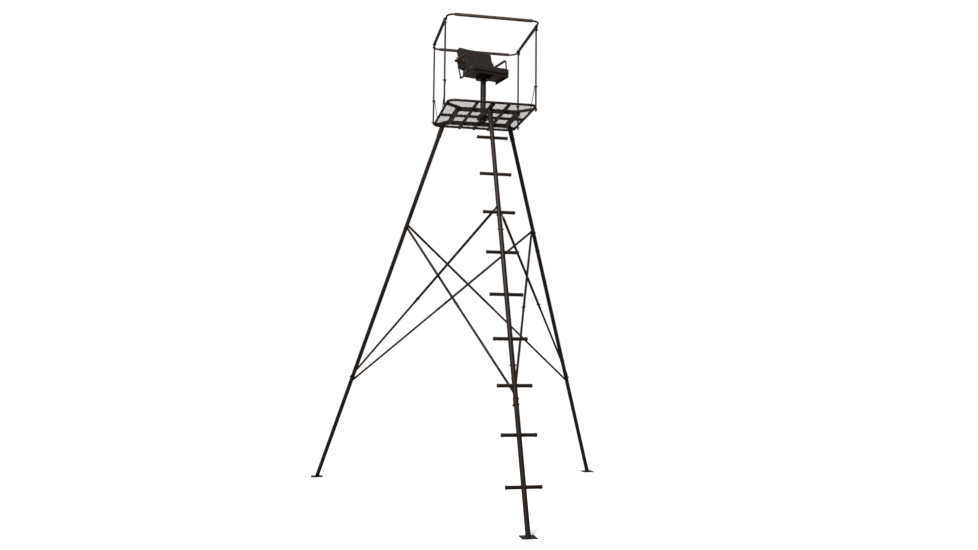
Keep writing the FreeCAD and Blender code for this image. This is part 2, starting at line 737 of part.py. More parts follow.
def build():
    os.makedirs("parts", exist_ok=True)

    brace_bolts, brace_holes = build_braces()
    frame_bolts = list(brace_bolts)

    # Foot plates
    for leg, foot in FEET.items():
        half = PLATE_SIDE / 2
        plate = rounded_plate(half, half, PLATE_CORNER, PLATE_T)
        for sx in (-1, 1):
            for sy in (-1, 1):
                hole = Vector(sx * STAKE_HOLE_OUT, sy * STAKE_HOLE_OUT, 0)
                # The corner right under a leaning rear leg has no hole, as no stake could be driven there
                if leg == "front" or hole.dot(leg_axis(leg)) < STAKE_HOLE_OUT / 2:
                    plate = drill(plate, hole, Z, 20, STAKE_HOLE_R)
        plate.translate(foot)
        export("foot_plate_" + leg, [plate])

    # Legs, each in three lengths
    for leg in FEET:
        length = (HEADS[leg] - FEET[leg]).Length
        stops = (0.0,) + SPLICES + (length,)
        for part, (start, end) in zip(("lower", "middle", "upper"), zip(stops, stops[1:])):
            section = leg_section(leg, start, end, spigot=start > 0)
            if start == 0:
                foot = FEET[leg]
                section = leg_section(leg, -LEG_R * 2, end, spigot=False)
                below = box(-PLATE_SIDE, PLATE_SIDE, -PLATE_SIDE, PLATE_SIDE, -PLATE_SIDE, PLATE_T)
                section = section.cut(below.translated(foot))
            for centre, along in splice_bolts(leg):
                section = drill(section, centre, along, 60)
            for centre, along in brace_holes:
                section = drill(section, centre, along, 50)
            if leg == "front":
                for centre in rung_points():
                    section = drill(section, centre, X, 60, RUNG_R + 0.05)
            export(leg + "_leg_" + part, [section])
        for centre, along in splice_bolts(leg):
            frame_bolts.append(bolt(centre, along, 2 * (LEG_R + WASHER_GAP)))

    # Ladder
    rungs = []
    caps = []
    for centre in rung_points():
        rungs.append(pipe(centre - X * RUNG_HALF, centre + X * RUNG_HALF, RUNG_R, WALL))
        for sx in (-1, 1):
            inner = RUNG_R + 0.1
            cup = spin([(0, 0), (CAP_R, 0), (CAP_R, CAP_LENGTH), (inner, CAP_LENGTH), (inner, CAP_END), (0, CAP_END)])
            caps.append(place(cup, centre + X * sx * (RUNG_HALF + CAP_END + 0.2), X * -sx))
    export("ladder_rungs", rungs)
    export("rung_caps", caps)

    # Platform
    rim_solid = rim_loop(RIM_R)
    rim = rim_solid.cut(rim_loop(RIM_R - WALL))
    for sx in (-1, 1):
        for sy in (-1, 1):
            rim = drill(rim, deck(sx * PLATFORM_WIDTH / 2, sy * POST_Y, RIM_Z), X, 25)
    export("platform_rim", [rim])
    ring_block = deck_ring_block()
    hub_whole = hub_block()
    export("deck_ring", ring_beams())
    blocks = {leg: sleeve_block(leg, ring_block) for leg in FEET}
    export("deck_bars", deck_bars(rim_solid, ring_block, hub_whole, blocks["front"]))
    export("deck_struts", deck_struts(rim_solid, ring_block, (blocks["left"], blocks["right"])))
    export("deck_hub", [drill(hub_whole, deck(0, 0, BEAM_TOP_Z), Z, 60, SEAT_POST_R + 0.2)])
    half_x = PLATFORM_WIDTH / 2 - RIM_R - MESH_GAP
    half_y = PLATFORM_DEPTH / 2 - RIM_R - MESH_GAP
    mesh = rounded_plate(half_x, half_y, RIM_BEND - RIM_R, MESH_T)
    mesh.translate(deck(0, 0, BEAM_TOP_Z + 0.2))
    for sx in (-1, 1):
        for sy in (-1, 1):
            mesh = drill(mesh, deck(sx * PLATFORM_WIDTH / 2, sy * POST_Y, RIM_Z), X, 26, HEAD_R + 2)
    export("deck_mesh", [drill(mesh, deck(0, 0, BEAM_TOP_Z), Z, 60, SEAT_POST_R + 1)])
    export("leg_sleeves", [leg_sleeve(leg, blocks[leg]) for leg in FEET])

    # Rail
    for side, sx in SIDES:
        for end, sy in (("front", -1), ("rear", 1)):
            export("post_" + end + "_" + side, [rail_post(sx, sy)])
        export(side + "_rail", [side_rail(sx)])
        export(side + "_rail_foam", [foam(deck(sx * SIDE_X, -SIDE_FOAM_HALF, RAIL_Z),
                                          deck(sx * SIDE_X, SIDE_FOAM_HALF, RAIL_Z))])
    for end, sy in (("front", -1), ("rear", 1)):
        export(end + "_rail", [bow(sy)])
        export(end + "_rail_foam", [foam(deck(-BOW_FOAM_HALF, sy * RAIL_REACH, RAIL_Z),
                                         deck(BOW_FOAM_HALF, sy * RAIL_REACH, RAIL_Z))])
    export("post_braces", [post_brace(sx, sy) for sx in (-1, 1) for sy in (-1, 1)])
    rail_bolts = [bolt(*spec) for spec in corner_bolts() + post_bolts()]
    export("rail_bolts", rail_bolts)
    export("frame_bolts", frame_bolts)

    # Seat
    export("seat_post", [seat_post()])
    export("turntable", [seat_to_stand(turntable())])
    export("seat_pan", [seat_to_stand(seat_pan())])
    export("seat_cushion", [seat_to_stand(cushion())])
    export("seat_hinge_bolts", [seat_to_stand(b) for b in seat_bolts()])
    export("back_frame", [seat_to_stand(back_frame())])
    export("back_cushion", [seat_to_stand(back_pad())])
    export("arm_hinge_bolts", [seat_to_stand(b) for b in arm_bolts()])
    for side, sx in SIDES:
        export("arm_" + side, [seat_to_stand(arm(sx))])
        export("arm_foam_" + side, [seat_to_stand(arm_foam(sx))])


build()
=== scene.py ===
import json
import math

import bmesh
import bpy
from mathutils import Matrix, Vector, noise
from mathutils.bvhtree import BVHTree


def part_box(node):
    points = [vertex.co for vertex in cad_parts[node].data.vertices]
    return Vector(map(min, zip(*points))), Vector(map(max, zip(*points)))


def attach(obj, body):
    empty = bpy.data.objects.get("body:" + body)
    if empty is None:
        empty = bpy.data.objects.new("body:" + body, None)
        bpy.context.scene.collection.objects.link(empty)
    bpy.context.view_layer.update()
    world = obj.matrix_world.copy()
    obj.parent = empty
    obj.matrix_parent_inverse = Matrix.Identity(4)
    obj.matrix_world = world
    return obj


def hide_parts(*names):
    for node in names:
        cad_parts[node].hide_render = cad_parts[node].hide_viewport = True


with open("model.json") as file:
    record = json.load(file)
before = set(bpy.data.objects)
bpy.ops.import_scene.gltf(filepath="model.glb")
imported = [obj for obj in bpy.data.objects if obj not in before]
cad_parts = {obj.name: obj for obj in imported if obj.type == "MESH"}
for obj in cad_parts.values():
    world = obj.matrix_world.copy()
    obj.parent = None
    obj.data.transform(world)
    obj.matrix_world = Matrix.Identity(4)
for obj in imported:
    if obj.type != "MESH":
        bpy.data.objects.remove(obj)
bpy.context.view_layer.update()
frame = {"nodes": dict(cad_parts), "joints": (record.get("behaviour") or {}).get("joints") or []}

joints = {joint["name"]: joint for joint in frame["joints"]}
up = Vector((0, 0, 1))
across = Vector((1, 0, 0))


# colours are sRGB hex, turned to the linear values that shaders use
def linear(hexColour):
    values = [int(hexColour[i:i + 2], 16) / 255 for i in (1, 3, 5)]
    return tuple(v / 12.92 if v <= 0.04045 else ((v + 0.055) / 1.055) ** 2.4 for v in values) + (1.0,)


# adds a node, sets its properties, and sets or links its inputs by name or number
def addNode(tree, kind, inputs=None, **settings):
    made = tree.nodes.new("ShaderNode" + kind)
    for name, value in settings.items():
        setattr(made, name, value)
    for name, value in (inputs or {}).items():
        if isinstance(value, bpy.types.NodeSocket):
            tree.links.new(value, made.inputs[name])
        else:
            made.inputs[name].default_value = value
    return made


def newMaterial(name):
    material = bpy.data.materials.new(name)
    material.use_nodes = True
    tree = material.node_tree
    tree.nodes.clear()
    place = addNode(tree, "TexCoord").outputs["Object"]
    return material, tree, place


def finishMaterial(tree, shader):
    addNode(tree, "OutputMaterial", {"Surface": shader.outputs[0]})


# a ramp between stops of (position, colour)
def addRamp(tree, factor, stops):
    ramp = addNode(tree, "ValToRGB", {"Fac": factor})
    elements = ramp.color_ramp.elements
    while len(elements) < len(stops):
        elements.new(0.5)
    for element, (position, colour) in zip(elements, stops):
        element.position = position
        element.color = colour
    return ramp.outputs["Color"]


def mixColour(tree, factor, first, second, blend="MIX"):
    mixed = addNode(tree, "Mix", {"Factor": factor}, data_type="RGBA", blend_type=blend)
    for socket, value in ((mixed.inputs[6], first), (mixed.inputs[7], second)):
        if isinstance(value, bpy.types.NodeSocket):
            tree.links.new(value, socket)
        else:
            socket.default_value = value
    return mixed.outputs[2]


black = (0.0, 0.0, 0.0, 1.0)
white = (1.0, 1.0, 1.0, 1.0)

coatLook = {
    "colour": "#160e0a", "faded": "#221811", "primer": "#4b423b", "dust": "#39312a",
    "peel": 0.0035,         # orange peel, metres from crest to crest
    "fading": 0.22,         # size of the faded patches
    "scuff": 0.012,         # width of the scuff marks
    "roughness": 0.44, "specular": 0.1,
}


# Polyester powder coat on steel tube: baked on, so satin with a faint orange peel,
# chalked a little lighter in patches, and rubbed to the grey primer in fine scuffs.
def powderCoat(name, wear=0.0):
    look = coatLook
    material, tree, place = newMaterial(name)
    patches = addNode(tree, "TexNoise", {"Vector": place, "Scale": 1 / look["fading"], "Detail": 5.0,
                                         "Roughness": 0.62})
    colour = addRamp(tree, patches.outputs["Fac"],
                     [(0.34, linear(look["colour"])), (0.72, linear(look["faded"]))])
    stretched = addNode(tree, "Mapping", {"Vector": place, "Scale": (1.0, 1.0, 0.16)})
    scuffs = addNode(tree, "TexNoise", {"Vector": stretched.outputs[0], "Scale": 1 / look["scuff"],
                                        "Detail": 6.0, "Roughness": 0.7})
    scuffMask = addRamp(tree, scuffs.outputs["Fac"], [(0.66, black), (0.74, (0.55, 0.55, 0.55, 1.0))])
    colour = mixColour(tree, scuffMask, colour, linear(look["primer"]))
    if wear > 0:    # boots rub the coat off the tops of the rungs and deck
        facing = addNode(tree, "SeparateXYZ", {0: addNode(tree, "NewGeometry").outputs["Normal"]})
        rubbed = addNode(tree, "TexNoise", {"Vector": place, "Scale": 55.0, "Detail": 4.0})
        amount = addNode(tree, "Math", {0: facing.outputs["Z"], 1: rubbed.outputs["Fac"]},
                         operation="MULTIPLY")
        worn = addRamp(tree, amount.outputs[0], [(0.36, black), (0.52, (wear, wear, wear, 1.0))])
        colour = mixColour(tree, worn, colour, linear(look["dust"]))
    peel = addNode(tree, "TexNoise", {"Vector": place, "Scale": 1 / look["peel"], "Detail": 2.0})
    bump = addNode(tree, "Bump", {"Height": peel.outputs["Fac"], "Strength": 0.16, "Distance": 0.0004})
    dull = addNode(tree, "MapRange", {"Value": patches.outputs["Fac"], "To Min": look["roughness"] - 0.08,
                                      "To Max": look["roughness"] + 0.16})
    shader = addNode(tree, "BsdfPrincipled", {
        "Base Color": colour, "Roughness": dull.outputs[0], "Normal": bump.outputs[0],
        "Specular IOR Level": look["specular"], "IOR": 1.5})
    finishMaterial(tree, shader)
    return material


boltLook = {"colour": "#1d1b19", "bright": "#4a4641", "turning": 0.0011, "roughness": 0.42}


# Black-oxide hex hardware: dark metal with fine turning marks and random patches rubbed brighter.
def blackOxideSteel(name):
    look = boltLook
    material, tree, place = newMaterial(name)
    cloud = addNode(tree, "TexNoise", {"Vector": place, "Scale": 160.0, "Detail": 4.0})
    colour = addRamp(tree, cloud.outputs["Fac"],
                     [(0.35, linear(look["colour"])), (0.8, linear(look["bright"]))])
    marks = addNode(tree, "TexNoise", {"Vector": place, "Scale": 1 / look["turning"], "Detail": 3.0})
    bump = addNode(tree, "Bump", {"Height": marks.outputs["Fac"], "Strength": 0.2, "Distance": 0.0002})
    shader = addNode(tree, "BsdfPrincipled", {
        "Base Color": colour, "Metallic": 0.8, "Roughness": look["roughness"], "Normal": bump.outputs[0]})
    finishMaterial(tree, shader)
    return material


foamLook = {
    "colour": "#271f1b", "bloom": "#453a33", "cell": 0.0016, "dent": 0.045,
    "roughness": 0.93, "specular": 0.1,
}


# Closed-cell nitrile foam: extruded, with a dead-matt skin of tiny cells and a grey bloom.
def nitrileFoam(name):
    look = foamLook
    material, tree, place = newMaterial(name)
    bloom = addNode(tree, "TexNoise", {"Vector": place, "Scale": 1 / look["dent"], "Detail": 6.0,
                                       "Roughness": 0.7})
    colour = addRamp(tree, bloom.outputs["Fac"],
                     [(0.38, linear(look["colour"])), (0.78, linear(look["bloom"]))])
    cells = addNode(tree, "TexVoronoi", {"Vector": place, "Scale": 1 / look["cell"]}, feature="F1")
    # painted shade: each pore is darkened at its middle, where the fine bump sinks it into a pit
    poreShade = addRamp(tree, cells.outputs["Distance"], [(0.1, (0.72, 0.72, 0.72, 1.0)), (0.45, white)])
    colour = mixColour(tree, 1.0, colour, poreShade, "MULTIPLY")
    fine = addNode(tree, "Bump", {"Height": cells.outputs["Distance"], "Strength": 0.35,
                                  "Distance": 0.0005})
    soft = addNode(tree, "Bump", {"Height": bloom.outputs["Fac"], "Strength": 0.3, "Distance": 0.003,
                                  "Normal": fine.outputs[0]})
    shader = addNode(tree, "BsdfPrincipled", {
        "Base Color": colour, "Roughness": look["roughness"], "Normal": soft.outputs[0],
        "Specular IOR Level": look["specular"]})
    finishMaterial(tree, shader)
    return material


fabricLook = {
    "warp": "#17120f", "weft": "#221c18", "shadow": "#090807",
    "thread": 0.0032,       # real threads are 0.6 mm, drawn coarser so that the weave still shows
    "crease": 0.09, "roughness": 0.86, "sheen": 0.05,
}


# Woven 600-denier polyester over foam: matt, a plain weave with a soft sheen and slight creases.
def polyesterCanvas(name, turn):
    look = fabricLook
    material, tree, place = newMaterial(name)
    cloth = addNode(tree, "Mapping", {"Vector": place, "Rotation": turn}).outputs[0]
    axes = addNode(tree, "SeparateXYZ", {0: cloth})
    waves = []
    for axis in "XYZ":
        angle = addNode(tree, "Math", {0: axes.outputs[axis], 1: 2 * math.pi / look["thread"]},
                        operation="MULTIPLY")
        waves.append(addNode(tree, "Math", {0: angle.outputs[0]}, operation="SINE").outputs[0])
    normal = addNode(tree, "TexCoord").outputs["Normal"]
    turned = addNode(tree, "Mapping", {"Vector": normal, "Rotation": turn}).outputs[0]
    facing = addNode(tree, "SeparateXYZ", {0: turned})
    weave = 0.0
    for i, axis in enumerate("XYZ"):    # each face takes the two thread directions that lie in it
        share = addNode(tree, "Math", {0: facing.outputs[axis], 1: facing.outputs[axis]},
                        operation="MULTIPLY")
        pair = addNode(tree, "Math", {0: waves[(i + 1) % 3], 1: waves[(i + 2) % 3]},
                       operation="MULTIPLY")
        weave = addNode(tree, "Math", {0: share.outputs[0], 1: pair.outputs[0], 2: weave},
                        operation="MULTIPLY_ADD").outputs[0]
    level = addNode(tree, "MapRange", {"Value": weave, "From Min": -1.0, "From Max": 1.0}).outputs[0]
    threads = addRamp(tree, level, [(0.1, linear(look["shadow"])), (0.45, linear(look["warp"])),
                                    (0.9, linear(look["weft"]))])
    fade = addNode(tree, "TexNoise", {"Vector": place, "Scale": 9.0, "Detail": 5.0, "Roughness": 0.6})
    tone = addRamp(tree, fade.outputs["Fac"], [(0.3, (0.8, 0.8, 0.8, 1.0)), (0.75, (1.25, 1.22, 1.2, 1.0))])
    colour = mixColour(tree, 1.0, threads, tone, "MULTIPLY")
    creases = addNode(tree, "TexNoise", {"Vector": cloth, "Scale": 1 / look["crease"], "Detail": 3.0,
                                         "Distortion": 0.6})
    weaveBump = addNode(tree, "Bump", {"Height": level, "Strength": 0.45, "Distance": 0.0006})
    bump = addNode(tree, "Bump", {"Height": creases.outputs["Fac"], "Strength": 0.35, "Distance": 0.006,
                                  "Normal": weaveBump.outputs[0]})
    shader = addNode(tree, "BsdfPrincipled", {
        "Base Color": colour, "Roughness": look["roughness"], "Normal": bump.outputs[0],
        "Specular IOR Level": 0.1, "Sheen Weight": look["sheen"], "Sheen Roughness": 0.5})
    finishMaterial(tree, shader)
    return material


plasticLook = {"colour": "#121110", "worn": "#2a2826", "grain": 0.0014, "roughness": 0.6}


# Low-density polyethylene: injection moulded, soft black with a fine spark-eroded grain.
def mouldedPolyethylene(name):
    look = plasticLook
    material, tree, place = newMaterial(name)
    rub = addNode(tree, "TexNoise", {"Vector": place, "Scale": 70.0, "Detail": 5.0})
    colour = addRamp(tree, rub.outputs["Fac"],
                     [(0.45, linear(look["colour"])), (0.8, linear(look["worn"]))])
    grain = addNode(tree, "TexNoise", {"Vector": place, "Scale": 1 / look["grain"], "Detail": 2.0})
    bump = addNode(tree, "Bump", {"Height": grain.outputs["Fac"], "Strength": 0.25, "Distance": 0.0003})
    shader = addNode(tree, "BsdfPrincipled", {
        "Base Color": colour, "Roughness": look["roughness"], "Normal": bump.outputs[0], "IOR": 1.51,
        "Specular IOR Level": 0.2})
    finishMaterial(tree, shader)
    return material


seatTurn = math.atan2(joints["backrest_fold"]["axis"][1], joints["backrest_fold"]["axis"][0])
backLean = math.radians(22)

coat = powderCoat("powderCoatedSteel")
wornCoat = powderCoat("wornPowderCoat", wear=0.8)
oxide = blackOxideSteel("blackOxideSteel")
foam = nitrileFoam("nitrileFoam")
seatCloth = polyesterCanvas("seatCanvas", (0, 0, -seatTurn))
backCloth = polyesterCanvas("backCanvas", (backLean, 0, -seatTurn))
capPlastic = mouldedPolyethylene("blackPolyethylene")
print("materials made")


# dresses the CAD nodes that stay, by what each is made of
def dressNodes():
    for name, node in frame["nodes"].items():
        if name.endswith("bolts"):
            finish = oxide
        elif name in ("ladder_rungs", "platform_rim"):
            finish = wornCoat
        else:
            finish = coat
        node.data.materials.clear()
        node.data.materials.append(finish)


dressNodes()
print("frame dressed")


# hands a finished bmesh over as a piece on a body
def makePiece(name, bm, finish, body, smooth=True, replaces=()):
    mesh = bpy.data.meshes.new(name)
    bmesh.ops.recalc_face_normals(bm, faces=bm.faces)
    bm.to_mesh(mesh)
    bm.free()
    return dressPiece(bpy.data.objects.new(name, mesh), finish, body, smooth, replaces)


def dressPiece(piece, finish, body, smooth=True, replaces=()):
    if piece.name not in bpy.context.scene.collection.objects:
        bpy.context.scene.collection.objects.link(piece)
    piece.data.materials.clear()
    piece.data.materials.append(finish)
    for face in piece.data.polygons:
        face.use_smooth = smooth
    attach(piece, body)
    if replaces:
        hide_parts(*replaces)
    return piece


# turns +Z towards a direction, about a point
def aim(point, direction):
    return Matrix.Translation(point) @ direction.to_track_quat("Z", "Y").to_matrix().to_4x4()


# spins (radius, height) points about Z into a closed shape
def spunShape(points, steps, matrix, bm=None):
    bm = bm or bmesh.new()
    verts = [bm.verts.new((radius, 0, height)) for radius, height in points]
    edges = [bm.edges.new(pair) for pair in zip(verts, verts[1:])]
    bmesh.ops.spin(bm, geom=verts + edges, cent=(0, 0, 0), axis=(0, 0, 1), angle=math.tau, steps=steps,
                   use_merge=True)
    near = [v for v in bm.verts if not v.tag]
    bmesh.ops.remove_doubles(bm, verts=near, dist=0.00002)
    fresh = [v for v in bm.verts if not v.tag]
    bmesh.ops.transform(bm, matrix=matrix, verts=fresh)
    for v in fresh:
        v.tag = True
    return bm


sleeveLook = {
    "round": 0.004,         # rounding of the cut ends
    "ringStep": 0.012,      # spacing of the rings of points along a sleeve
    "sag": 0.0011,          # how far the foam is dented
    "railBore": 0.61,       # bore over outside, for the rails and the armrests
    "armBore": 0.62,
    "steps": 28,
}


# a foam sleeve on a straight tube, softly dented, with rounded cut ends
def foamSleeve(name, node, body, start, end, radius, bore):
    look = sleeveLook
    length = (end - start).length
    rings = max(8, int(length / look["ringStep"]))
    edge = look["round"]
    profile = [(bore, edge * 2)]
    profile.append((bore, edge * 0.3))
    profile.append((bore + edge * 0.4, 0.0))
    for turn in range(5):
        angle = math.radians(90 * turn / 4)
        profile.append((radius - edge + edge * math.sin(angle), edge - edge * math.cos(angle)))
    profile += [(radius, edge + (length - 2 * edge) * k / rings) for k in range(1, rings)]
    for turn in range(5):
        angle = math.radians(90 * turn / 4)
        profile.append((radius - edge + edge * math.cos(angle), length - edge + edge * math.sin(angle)))
    profile.append((bore + edge * 0.4, length))
    profile.append((bore, length - edge * 0.3))
    profile.append((bore, length - edge * 2))
    matrix = aim(start, (end - start).normalized())
    bm = spunShape(profile, look["steps"], matrix)
    axis = (end - start).normalized()
    for v in bm.verts:
        out = (v.co - start) - axis * (v.co - start).dot(axis)
        if out.length > (radius + bore) / 2:
            dent = noise.noise(v.co * 26.0) * 0.6 + noise.noise(v.co * 9.0)
            v.co += out.normalized() * min(0.0, dent) * look["sag"]
    piece = makePiece(name, bm, foam, body, replaces=(node,))
    return piece


def buildSleeves():
    for name, node, body, axis in (
        ("leftRailSleeve", "left_rail_foam", "frame", 1),
        ("rightRailSleeve", "right_rail_foam", "frame", 1),
        ("rearRailSleeve", "rear_rail_foam", "frame", 0),
        ("frontRailSleeve", "front_rail_foam", "front_bow", 0),
    ):
        low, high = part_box(node)
        middle = (low + high) / 2
        radius = (high.z - low.z) / 2
        start = middle.copy()
        end = middle.copy()
        start[axis] = low[axis]
        end[axis] = high[axis]
        foamSleeve(name, node, body, start, end, radius, radius * sleeveLook["railBore"])
    forward = Vector((math.sin(seatTurn), -math.cos(seatTurn), 0))
    for side in ("left", "right"):
        low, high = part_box("arm_foam_" + side)
        middle = (low + high) / 2
        radius = (high.z - low.z) / 2
        half = ((high.y - low.y) - 2 * radius * abs(forward.x)) / abs(forward.y) / 2
        foamSleeve(side + "ArmSleeve", "arm_foam_" + side, "armrest_" + side, middle - forward * half,
                   middle + forward * half, radius, radius * sleeveLook["armBore"])


buildSleeves()
print("foam sleeves made")

rungCapLook = {"count": 9, "rung": 0.016, "wall": 0.0019, "length": 0.020, "steps": 24}


# where the rungs cross the ladder leg, from the lowest up
def rungCentres():
    low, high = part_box("ladder_rungs")
    rim = Vector((0, rungCapLook["rung"], rungCapLook["rung"]))
    bottom = Vector((0, low.y, low.z)) + rim
    top = Vector((0, high.y, high.z)) - rim
    return [bottom.lerp(top, k / (rungCapLook["count"] - 1)) for k in range(rungCapLook["count"])]


# soft caps over the ends of the rungs, domed, with a rolled rim
def buildRungCaps():
    look = rungCapLook
    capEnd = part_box("rung_caps")[1].x
    radius = look["rung"] + look["wall"]
    length = look["length"]
    lip = look["rung"] + 0.0003
    profile = [(0.0, 0.0), (radius * 0.35, 0.0002), (radius * 0.7, 0.0011), (radius * 0.9, 0.0026),
               (radius * 0.985, 0.0052), (radius, 0.009), (radius, length - 0.003),
               (radius * 1.02, length - 0.0016), (radius * 0.985, length), (lip, length - 0.0006),
               (lip, length - 0.006)]
    bm = bmesh.new()
    for centre in rungCentres():
        for side in (-1, 1):
            tip = Vector((capEnd * side, centre.y, centre.z))
            spunShape(profile, look["steps"], aim(tip, across * -side), bm)
    makePiece("rungCaps", bm, capPlastic, "frame", replaces=("rung_caps",))


buildRungCaps()
print("rung caps made")

meshLook = {
    "longWay": 0.058,       # length of a diamond, across the deck
    "shortWay": 0.028,      # depth of a diamond
    "strand": 0.0028,       # width of a strand
    "thick": 0.0013,
    "postHole": 0.033,
    "corner": 0.062,        # radius of the rim's corners, cleared by three cuts each
}


# Expanded steel: rows of zigzag strands that meet at their corners, cut to the rim's outline.
def buildDeckMesh():
    look = meshLook
    low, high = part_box("deck_mesh")
    middle = (low + high) / 2
    halfLong = look["longWay"] / 2
    columns = math.ceil((high.x - low.x) / halfLong) + 2
    rows = math.ceil((high.y - low.y) / look["shortWay"]) + 2
    strand = look["strand"]
    swing = (look["shortWay"] - strand * 0.9) / 4
    bm = bmesh.new()
    bmesh.ops.create_grid(bm, x_segments=columns, y_segments=1, size=0.5,
                          matrix=Matrix.Diagonal((columns * halfLong, strand, 1, 1)))
    for v in bm.verts:
        column = round(v.co.x / halfLong + columns / 2)
        v.co.y += swing if column % 2 else -swing
    made = bmesh.ops.extrude_face_region(bm, geom=bm.faces[:])
    lifted = [item for item in made["geom"] if isinstance(item, bmesh.types.BMVert)]
    bmesh.ops.translate(bm, vec=(0, 0, look["thick"]), verts=lifted)
    first = bm.verts[:] + bm.edges[:] + bm.faces[:]
    start = Vector((middle.x, low.y - look["shortWay"] / 2, low.z))
    for row in range(1, rows * 2):
        copy = bmesh.ops.duplicate(bm, geom=first)["geom"]
        verts = [item for item in copy if isinstance(item, bmesh.types.BMVert)]
        if row % 2:     # every second strand is the mirror of the one before
            bmesh.ops.scale(bm, vec=(1, -1, 1), verts=verts)
        bmesh.ops.translate(bm, vec=(0, row * look["shortWay"] / 2, 0), verts=verts)
    bmesh.ops.translate(bm, vec=start, verts=bm.verts)
    corner = look["corner"]
    half = Vector(((high.x - low.x) / 2, (high.y - low.y) / 2, 0))
    cuts = [((1, 0), half.x), ((-1, 0), half.x), ((0, 1), half.y), ((0, -1), half.y)]
    centre = half - Vector((corner, corner, 0))
    for sx in (-1, 1):
        for sy in (-1, 1):
            for degrees in (22.5, 45, 67.5):
                angle = math.radians(degrees)
                normal = Vector((sx * math.cos(angle), sy * math.sin(angle), 0))
                reach = normal.dot(Vector((sx * centre.x, sy * centre.y, 0))) + corner
                cuts.append((normal.xy, reach))
    for normal, reach in cuts:
        n = Vector((normal[0], normal[1], 0))
        made = bmesh.ops.bisect_plane(bm, geom=bm.verts[:] + bm.edges[:] + bm.faces[:],
                                      plane_co=middle + n * reach, plane_no=n, clear_outer=True)
        rim = [item for item in made["geom_cut"] if isinstance(item, bmesh.types.BMEdge)]
        bmesh.ops.holes_fill(bm, edges=rim, sides=8)
    deck = makePiece("deckMesh", bm, wornCoat, "frame", smooth=False, replaces=("deck_mesh",))
    cutPostHole(deck, Vector((middle.x, middle.y, low.z)))


# the seat post's hole is cut with a round cutter
def cutPostHole(deck, centre):
    cutterMesh = bpy.data.meshes.new("postCutter")
    bm = bmesh.new()
    radius = meshLook["postHole"]
    bmesh.ops.create_cone(bm, cap_ends=True, segments=32, radius1=radius, radius2=radius,
                          depth=0.05, matrix=Matrix.Translation(centre))
    bm.to_mesh(cutterMesh)
    bm.free()
    cutter = bpy.data.objects.new("postCutter", cutterMesh)
    bpy.context.scene.collection.objects.link(cutter)
    cut = deck.modifiers.new("postHole", "BOOLEAN")
    cut.object = cutter
    cut.operation = "DIFFERENCE"
    applyModifiers(deck)
    bpy.data.objects.remove(cutter)
    bpy.data.meshes.remove(cutterMesh)


def applyModifiers(piece):
    bpy.context.view_layer.update()
    shown = piece.evaluated_get(bpy.context.evaluated_depsgraph_get())
    mesh = bpy.data.meshes.new_from_object(shown)
    old = piece.data
    piece.modifiers.clear()
    piece.data = mesh
    bpy.data.meshes.remove(old)
    mesh.name = piece.name


buildDeckMesh()
print("deck mesh made")

clothLook = {
    "voxel": 0.0055, "pressure": 4.0, "frames": 20,
    "tension": 18, "bending": 0.6,
    "cap": 0.010,           # no point of a pad may move further than this
    "smooth": 4,
    "spread": 0.008,        # a filled pad draws in at its sides, so it is cut this much wider
    "thin": 0.006,          # and it swells through its thickness, so it is cut thinner
}


# blows a closed shape up as a cloth skin over foam, and holds each point near where it began
def inflate(piece, cap):
    look = clothLook
    remesh = piece.modifiers.new("skin", "REMESH")
    remesh.mode = "VOXEL"
    remesh.voxel_size = look["voxel"]
    applyModifiers(piece)
    before = [v.co.copy() for v in piece.data.vertices]
    cloth = piece.modifiers.new("stuffing", "CLOTH")
    cloth.settings.use_pressure = True
    cloth.settings.uniform_pressure_force = look["pressure"]
    cloth.settings.effector_weights.gravity = 0
    cloth.settings.tension_stiffness = look["tension"]
    cloth.settings.compression_stiffness = look["tension"]
    cloth.settings.bending_stiffness = look["bending"]
    cloth.point_cache.frame_start = 1
    cloth.point_cache.frame_end = look["frames"]
    scene = bpy.context.scene
    for step in range(1, look["frames"] + 1):
        scene.frame_set(step)
    applyModifiers(piece)
    scene.frame_set(1)
    for v, was in zip(piece.data.vertices, before):
        move = v.co - was
        if move.length > cap:
            v.co = was + move.normalized() * cap


# a tube laid along a closed run of points
def tubeLoop(name, points, radius, finish, body, sides=8):
    curve = bpy.data.curves.new(name, "CURVE")
    curve.dimensions = "3D"
    curve.bevel_depth = radius
    curve.bevel_resolution = max(1, sides // 4)
    spline = curve.splines.new("POLY")
    spline.points.add(len(points) - 1)
    for target, point in zip(spline.points, points):
        target.co = (*point, 1)
    spline.use_cyclic_u = True
    draft = bpy.data.objects.new(name + "Draft", curve)
    bpy.context.scene.collection.objects.link(draft)
    bpy.context.view_layer.update()
    mesh = bpy.data.meshes.new_from_object(draft.evaluated_get(bpy.context.evaluated_depsgraph_get()))
    bpy.data.objects.remove(draft)
    mesh.name = name
    return dressPiece(bpy.data.objects.new(name, mesh), finish, body)


# a rounded rectangle in the pad's own plane, as points a fixed step apart
def roundedOutline(halfX, halfY, corner, step=0.008):
    points = []
    centres = ((halfX - corner, halfY - corner, 0), (-halfX + corner, halfY - corner, 90),
               (-halfX + corner, -halfY + corner, 180), (halfX - corner, -halfY + corner, 270))
    for index, (x, y, begin) in enumerate(centres):
        turns = max(4, round(corner * math.pi / 2 / step))
        for k in range(turns + 1):
            angle = math.radians(begin + 90 * k / turns)
            points.append(Vector((x + corner * math.cos(angle), y + corner * math.sin(angle), 0)))
        nx, ny, nextBegin = centres[(index + 1) % 4]
        angle = math.radians(nextBegin)
        goal = Vector((nx + corner * math.cos(angle), ny + corner * math.sin(angle), 0))
        run = goal - points[-1]
        count = max(1, round(run.length / step))
        points += [points[-1] + run * (k / count) for k in range(1, count)]
    return points


